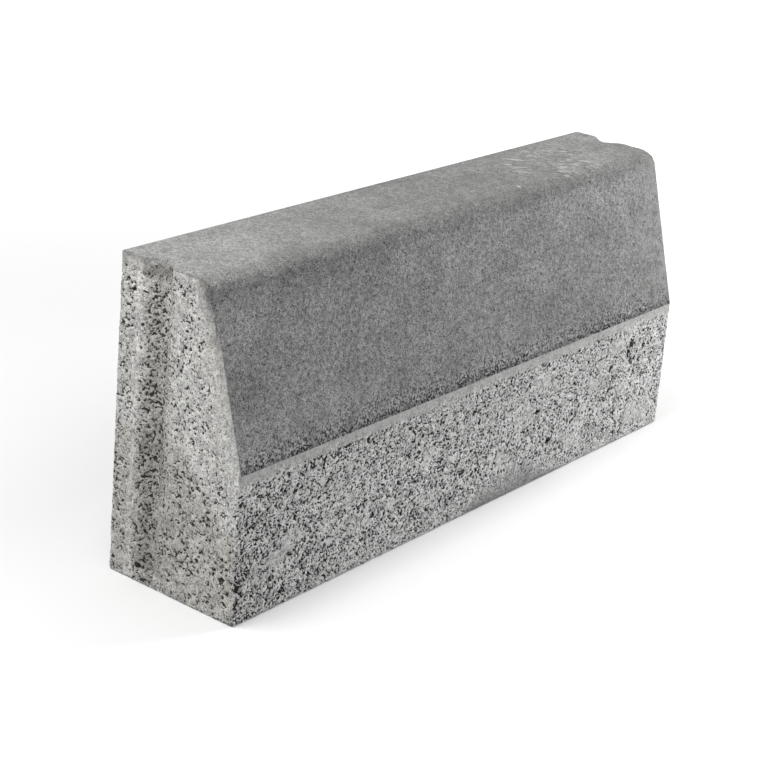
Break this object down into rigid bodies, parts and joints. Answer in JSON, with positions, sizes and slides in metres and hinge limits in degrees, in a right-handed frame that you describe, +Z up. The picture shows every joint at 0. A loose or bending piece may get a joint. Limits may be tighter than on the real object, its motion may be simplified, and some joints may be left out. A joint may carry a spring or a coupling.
{
  "type": "concrete kerb stone",
  "caption": "Precast concrete kerb with a battered road face, rounded top arris, fine face mix over an open-pored body, and a rounded-V joint groove down either end.",
  "frame": {"origin": "middle of the base, on the level that the kerb stands on", "axes": "+X along the kerb, +Y to its back (footway side), -Y to the battered road face, +Z up"},
  "size_m": [0.7, 0.15, 0.3],
  "materials": {
    "concrete": "dry cast concrete, matt: fine sandy face mix on top and batter, open-pored body below and on the ends"
  },
  "bodies": {
    "root": {"kerb_stone": "concrete"}
  },
  "joints": []
}
